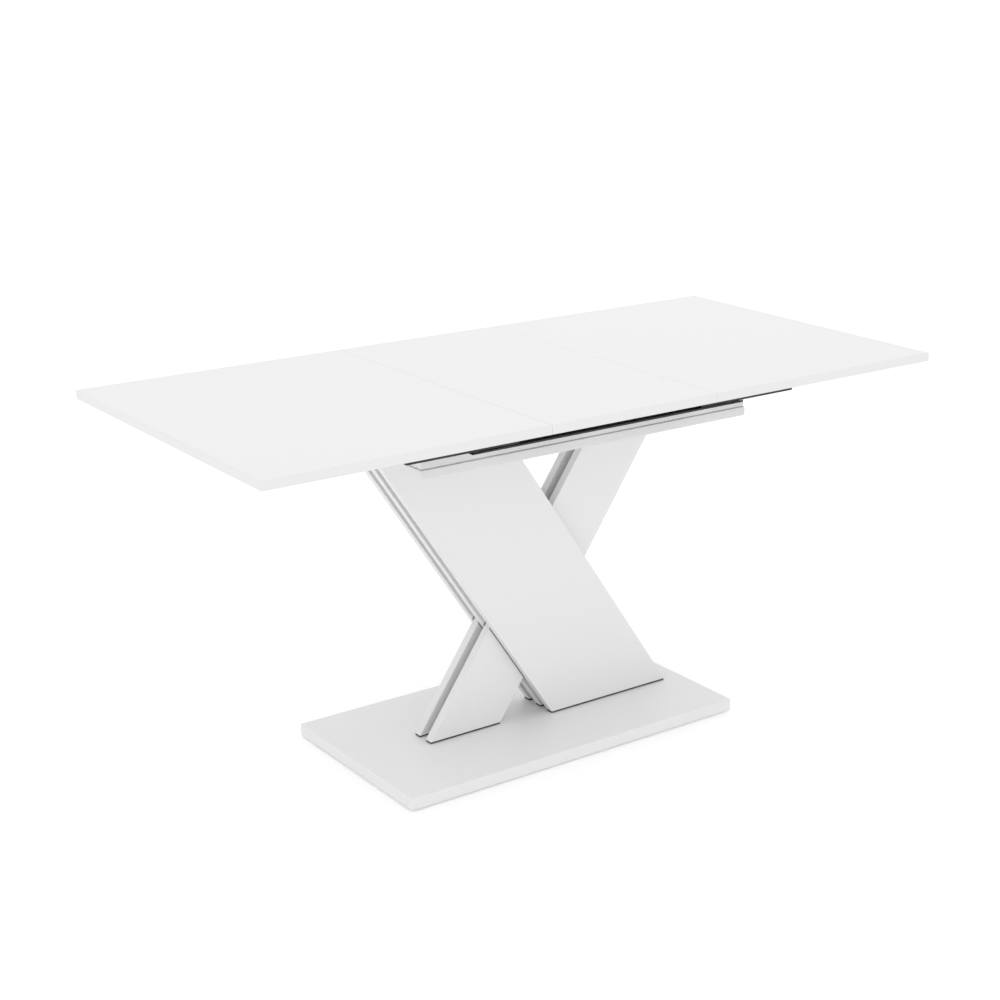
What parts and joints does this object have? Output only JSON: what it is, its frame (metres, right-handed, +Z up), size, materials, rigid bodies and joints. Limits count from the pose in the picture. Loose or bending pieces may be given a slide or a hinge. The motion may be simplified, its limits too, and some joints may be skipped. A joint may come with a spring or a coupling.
{
  "type": "extendable dining table",
  "caption": "White extendable dining table with two sliding leaves, a lift-out insert leaf, black slides and a pedestal of crossed panels on a flat base plate.",
  "frame": {"origin": "on the floor, under the middle of the table", "axes": "+X along the table, +Y towards the rear, +Z up"},
  "size_m": [1.6, 0.75, 0.77],
  "materials": {
    "gloss_white_top": "high gloss white laminate on board",
    "gloss_white_edge": "gloss white edge band",
    "satin_white_board": "satin white laminate on board",
    "satin_white_panel": "satin white laminate on board",
    "satin_white_edge": "satin white edge band",
    "white_rail": "satin white foil on board",
    "beech": "plain planed beech",
    "black_steel": "black powder coat",
    "zinc_steel": "bright zinc plate",
    "black_nylon": "moulded nylon, black",
    "white_nylon": "moulded nylon, natural white"
  },
  "bodies": {
    "pedestal": {"base_dowels": "beech", "base_glides": "black_nylon", "base_plate": "satin_white_board", "base_plate_edging": "satin_white_edge", "base_screws": "zinc_steel", "bearer_screws": "zinc_steel", "channel_screws": "zinc_steel", "crossbar_cleats": "beech", "crossbar_screws": "zinc_steel", "crossing_bolts": "zinc_steel", "crossing_nuts": "zinc_steel", "crossing_spacers": "black_nylon", "deck_board": "satin_white_board", "deck_dowels": "beech", "deck_edging": "satin_white_edge", "deck_screws": "zinc_steel", "foot_strips": "black_nylon", "frame_corner_blocks": "beech", "frame_rail_front": "white_rail", "frame_rail_left": "white_rail", "frame_rail_rear": "white_rail", "frame_rail_right": "white_rail", "frame_screws": "zinc_steel", "glide_pads": "white_nylon", "narrow_panel_edging": "satin_white_edge", "narrow_panel_front": "satin_white_panel", "narrow_panel_rear": "satin_white_panel", "pinion_axle": "zinc_steel", "pinion_washers": "zinc_steel", "rack_guides": "white_nylon", "slide_bearers": "white_rail", "slide_channel_front": "black_steel", "slide_channel_rear": "black_steel", "sync_crossbar": "beech", "wide_panel_edging": "satin_white_edge", "wide_panel_front": "satin_white_panel", "wide_panel_middle": "satin_white_panel", "wide_panel_rear": "satin_white_panel"},
    "right_leaf": {"right_leaf_board": "gloss_white_top", "right_leaf_edging": "gloss_white_edge", "right_leaf_pins": "beech", "right_leaf_screws": "zinc_steel", "right_leaf_sliders": "black_nylon", "right_rack": "white_nylon", "right_rack_mount": "beech", "right_runner_front": "black_steel", "right_runner_rear": "black_steel"},
    "left_leaf": {"left_leaf_board": "gloss_white_top", "left_leaf_edging": "gloss_white_edge", "left_leaf_screws": "zinc_steel", "left_leaf_sliders": "black_nylon", "left_rack": "white_nylon", "left_rack_mount": "beech", "left_runner_front": "black_steel", "left_runner_rear": "black_steel"},
    "insert_leaf": {"insert_board": "gloss_white_top", "insert_edging": "gloss_white_edge", "insert_pins": "beech"},
    "pinion": {"sync_pinion": "white_nylon"}
  },
  "joints": [
    {"name": "right_leaf_slide", "type": "slide", "parent": "pedestal", "child": "right_leaf", "axis": [-1, 0, 0], "range_m": [0, 0.2]},
    {"name": "left_leaf_slide", "type": "slide", "parent": "pedestal", "child": "left_leaf", "axis": [1, 0, 0], "range_m": [0, 0.2]},
    {"name": "insert_lift", "type": "slide", "parent": "pedestal", "child": "insert_leaf", "axis": [0, 0, 1], "range_m": [0, 0.6]},
    {"name": "pinion_spin", "type": "hinge", "parent": "pedestal", "child": "pinion", "pos_m": [0, 0, 0.734], "axis": [0, 0, 1], "range_deg": [0, 573]}
  ],
  "couplings": [
    {"joint": "left_leaf_slide", "follows": "right_leaf_slide", "ratio": 1},
    {"joint": "insert_lift", "follows": "right_leaf_slide", "ratio": 3},
    {"joint": "pinion_spin", "follows": "right_leaf_slide", "rad_per_m": 50}
  ]
}
